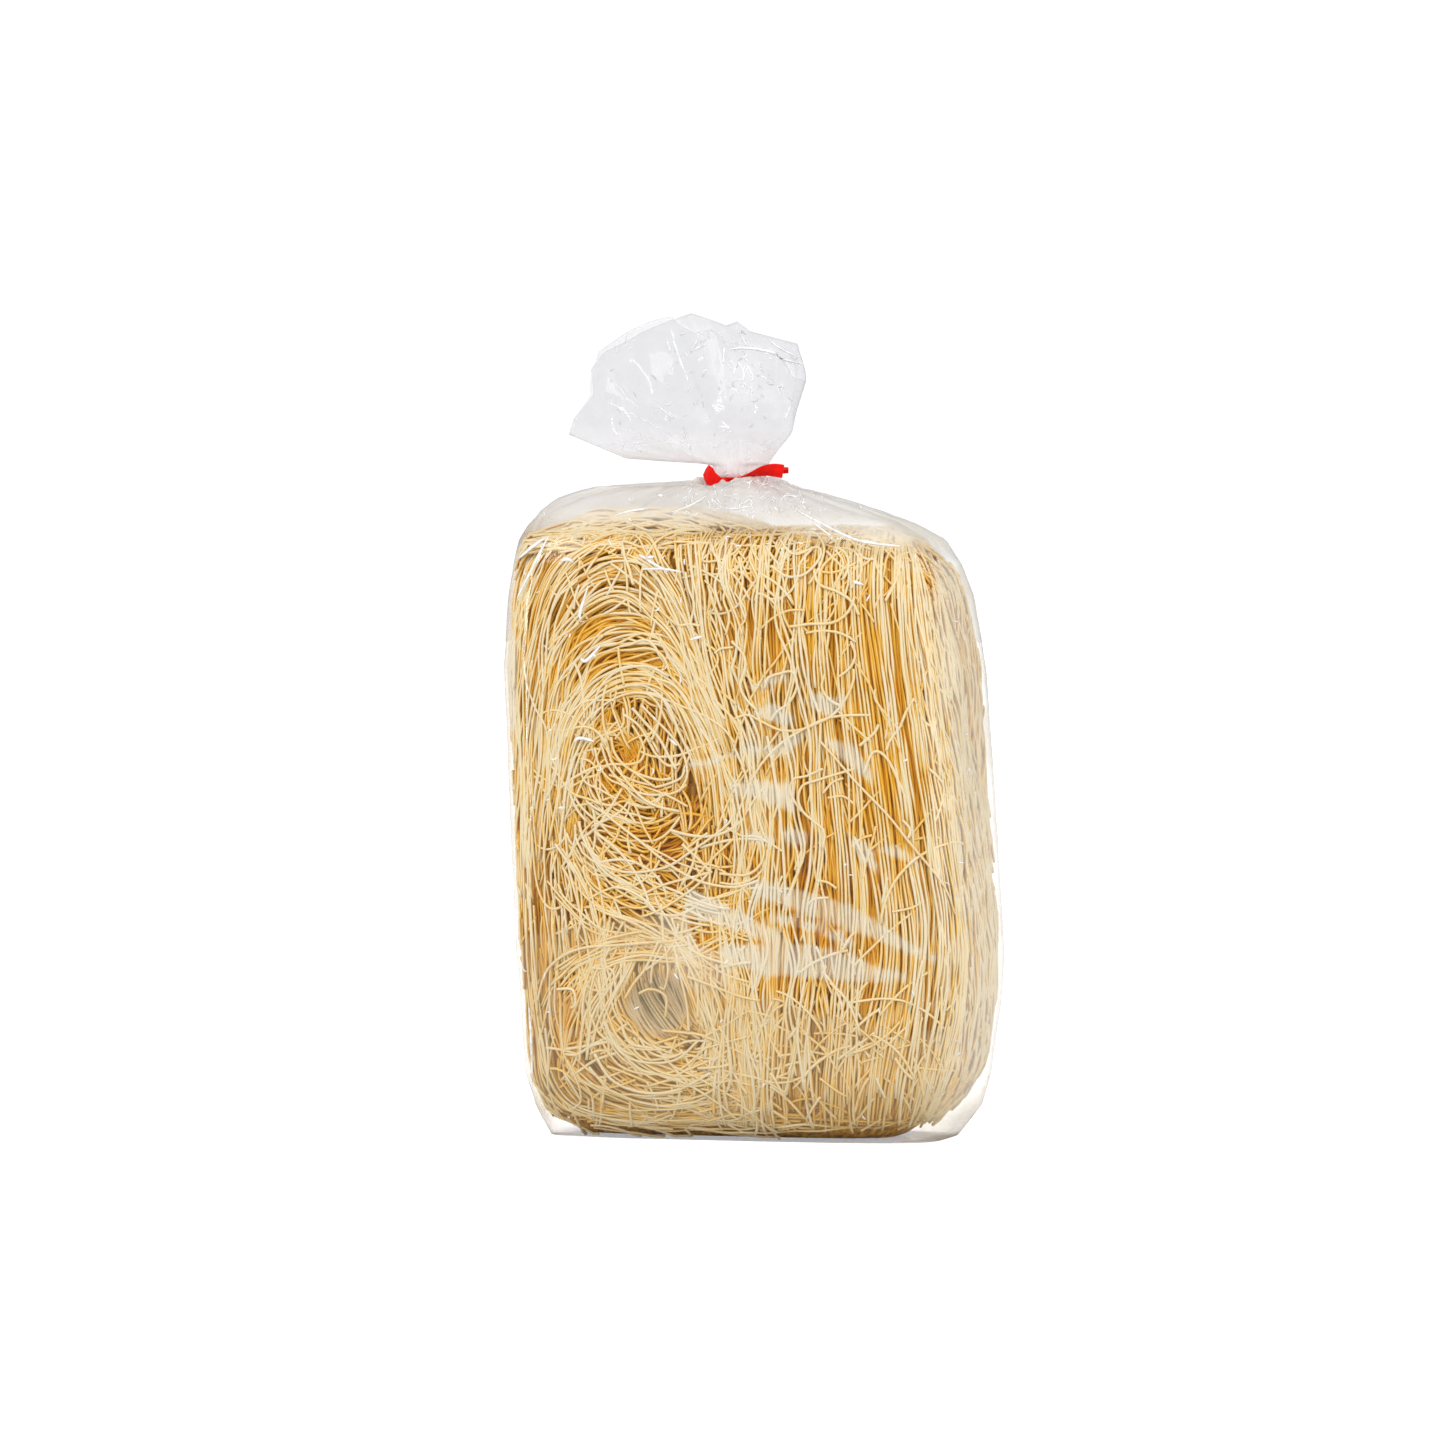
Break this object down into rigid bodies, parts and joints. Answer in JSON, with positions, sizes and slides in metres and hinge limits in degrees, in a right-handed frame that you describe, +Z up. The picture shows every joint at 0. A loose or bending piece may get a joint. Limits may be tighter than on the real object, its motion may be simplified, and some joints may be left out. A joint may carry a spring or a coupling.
{
  "type": "bagged block of dried rice vermicelli",
  "caption": "Upright block of folded dried rice vermicelli in a clear film bag, gathered at the top and closed with a flat twist tie, with a loose fan of film above it.",
  "frame": {"origin": "centre of the footprint, on the surface that the pack stands on", "axes": "+Z up to the fan of film, -Y out of the broad front face, +X to its right as it is looked at"},
  "size_m": [0.1588, 0.0844, 0.2743],
  "materials": {
    "noodle": "dried rice starch strands, cream on top and golden in the gaps",
    "film": "thin clear glossy polypropylene film, crinkled where it is gathered",
    "tie": "flat bright red plastic ribbon with a wire core"
  },
  "bodies": {
    "root": {"vermicelli_block": "noodle", "bag_top": "film", "bag_corner_left": "film", "bag_corner_right": "film", "twist_tie": "tie"}
  },
  "joints": []
}
